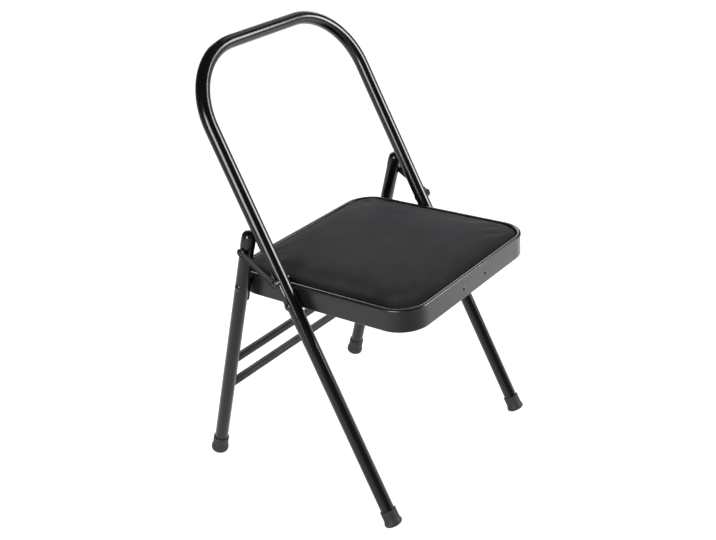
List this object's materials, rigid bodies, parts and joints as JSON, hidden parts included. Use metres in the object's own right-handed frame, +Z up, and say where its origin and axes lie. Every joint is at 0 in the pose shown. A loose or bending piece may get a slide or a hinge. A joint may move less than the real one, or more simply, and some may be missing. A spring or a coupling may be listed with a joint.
{
  "type": "backless folding yoga chair",
  "caption": "Folding steel chair with an open hoop in place of a backrest, used as a prop in yoga and therapy; the seat tips up and the rear legs fold against the hoop.",
  "frame": {"origin": "on the floor, under the middle of the chair's box", "axes": "+X is the sitter's left, -Y is the front of the chair, +Z is up"},
  "size_m": [0.485, 0.472, 0.8111],
  "materials": {
    "frame_steel": "black gloss powder coat",
    "pan_steel": "black semi-gloss powder coat",
    "rivet_steel": "black paint over steel",
    "screw_steel": "zinc plated",
    "rubber": "matte",
    "cap_plastic": "gloss",
    "nylon": "satin",
    "plywood": "raw",
    "foam": "open cell",
    "cover_fabric": "soft matte, suede-like"
  },
  "bodies": {
    "front_frame": {"hoop": "frame_steel", "pivot_plate_left": "frame_steel", "pivot_plate_right": "frame_steel", "front_foot_left": "rubber", "front_foot_right": "rubber", "seat_rivet_left": "rivet_steel", "seat_rivet_right": "rivet_steel", "seat_washer_left": "nylon", "seat_washer_right": "nylon", "link_rivet_left": "rivet_steel", "link_rivet_right": "rivet_steel", "link_spacer_left": "nylon", "link_spacer_right": "nylon"},
    "seat": {"seat_pan": "pan_steel", "stiffener": "pan_steel", "skirt_rivets": "rivet_steel", "board_screws": "screw_steel", "seat_board": "plywood", "foam_pad": "foam", "cushion_cover": "cover_fabric"},
    "rear_frame": {"rear_leg_left": "frame_steel", "rear_leg_right": "frame_steel", "leg_cap_left": "cap_plastic", "leg_cap_right": "cap_plastic", "rear_foot_left": "rubber", "rear_foot_right": "rubber", "leg_rivet_left": "rivet_steel", "leg_rivet_right": "rivet_steel", "leg_plate_left": "frame_steel", "leg_plate_right": "frame_steel", "leg_washer_left": "nylon", "leg_washer_right": "nylon", "upper_crossbar": "frame_steel", "lower_crossbar": "frame_steel"},
    "left_link": {"link_left": "frame_steel", "link_end_rivet_left": "rivet_steel"},
    "right_link": {"link_right": "frame_steel", "link_end_rivet_right": "rivet_steel"}
  },
  "joints": [
    {"name": "seat_fold", "type": "hinge", "parent": "front_frame", "child": "seat", "pos_m": [0, 0.00305, 0.39283], "axis": [-1, 0, 0], "range_deg": [0, 106]},
    {"name": "rear_frame_fold", "type": "hinge", "parent": "seat", "child": "rear_frame", "pos_m": [0, 0.11694, 0.39862], "axis": [1, 0, 0], "range_deg": [0, 64.6]},
    {"name": "left_link_fold", "type": "hinge", "parent": "front_frame", "child": "left_link", "pos_m": [0.23659, 0.02548, 0.43414], "axis": [-1, 0, 0], "range_deg": [0, 128]},
    {"name": "right_link_fold", "type": "hinge", "parent": "front_frame", "child": "right_link", "pos_m": [-0.23659, 0.02548, 0.43414], "axis": [-1, 0, 0], "range_deg": [0, 128]}
  ],
  "couplings": [
    {"joint": "rear_frame_fold", "follows": "seat_fold", "ratio": 0.6085},
    {"joint": "left_link_fold", "follows": "seat_fold", "ratio": 1.2064},
    {"joint": "right_link_fold", "follows": "seat_fold", "ratio": 1.2064}
  ]
}
